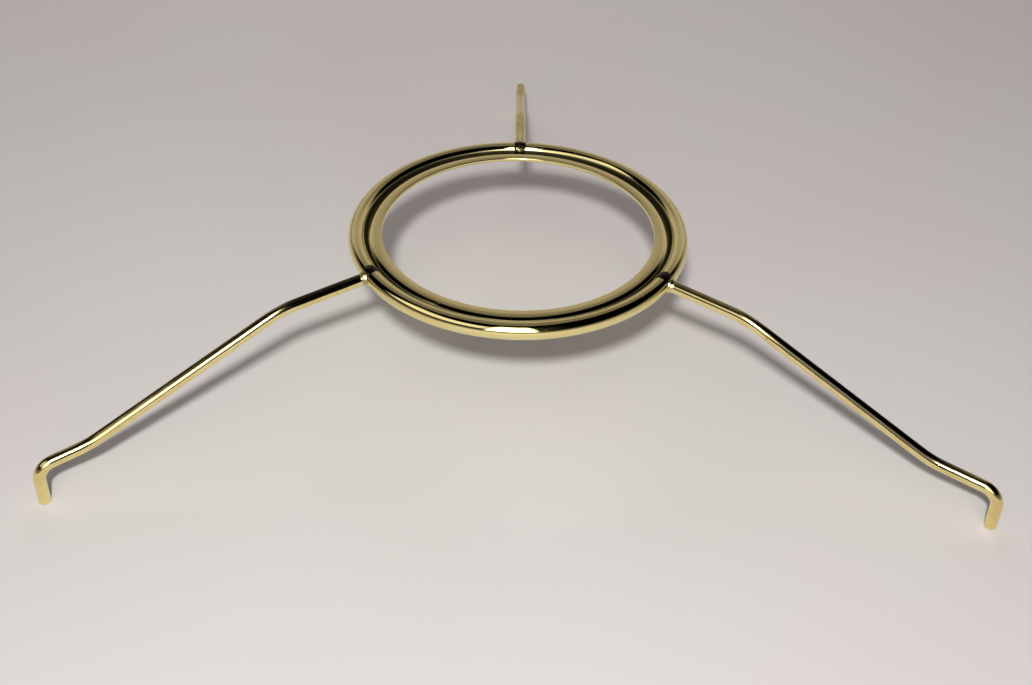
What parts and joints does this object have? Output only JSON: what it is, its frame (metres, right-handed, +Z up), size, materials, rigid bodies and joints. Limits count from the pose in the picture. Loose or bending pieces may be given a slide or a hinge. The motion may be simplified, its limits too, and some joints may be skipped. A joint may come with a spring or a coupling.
{
  "type": "lamp shade tripod holder",
  "caption": "Brass tripod holder for an oil-lamp shade: a flat-flanged ring with a round bead, and bent wire arms whose turned tips keep the shade's rim in place.",
  "frame": {"origin": "centre of the ring's hole, on the flat upper face of its flange", "axes": "+Z up out of that face, with the tips pointing down as the holder lies upside down; +Y along the back arm; +X across the two front arms"},
  "size_m": [0.2281, 0.1986, 0.0392],
  "materials": {
    "polished_brass": "polished and lacquered brass",
    "plated_wire": "bright brass-plated round wire",
    "braze_metal": "brazing metal under the same bright plating"
  },
  "bodies": {
    "root": {"ring": "polished_brass", "arm_back": "plated_wire", "arm_left": "plated_wire", "arm_right": "plated_wire", "braze_back": "braze_metal", "braze_left": "braze_metal", "braze_right": "braze_metal"}
  },
  "joints": []
}
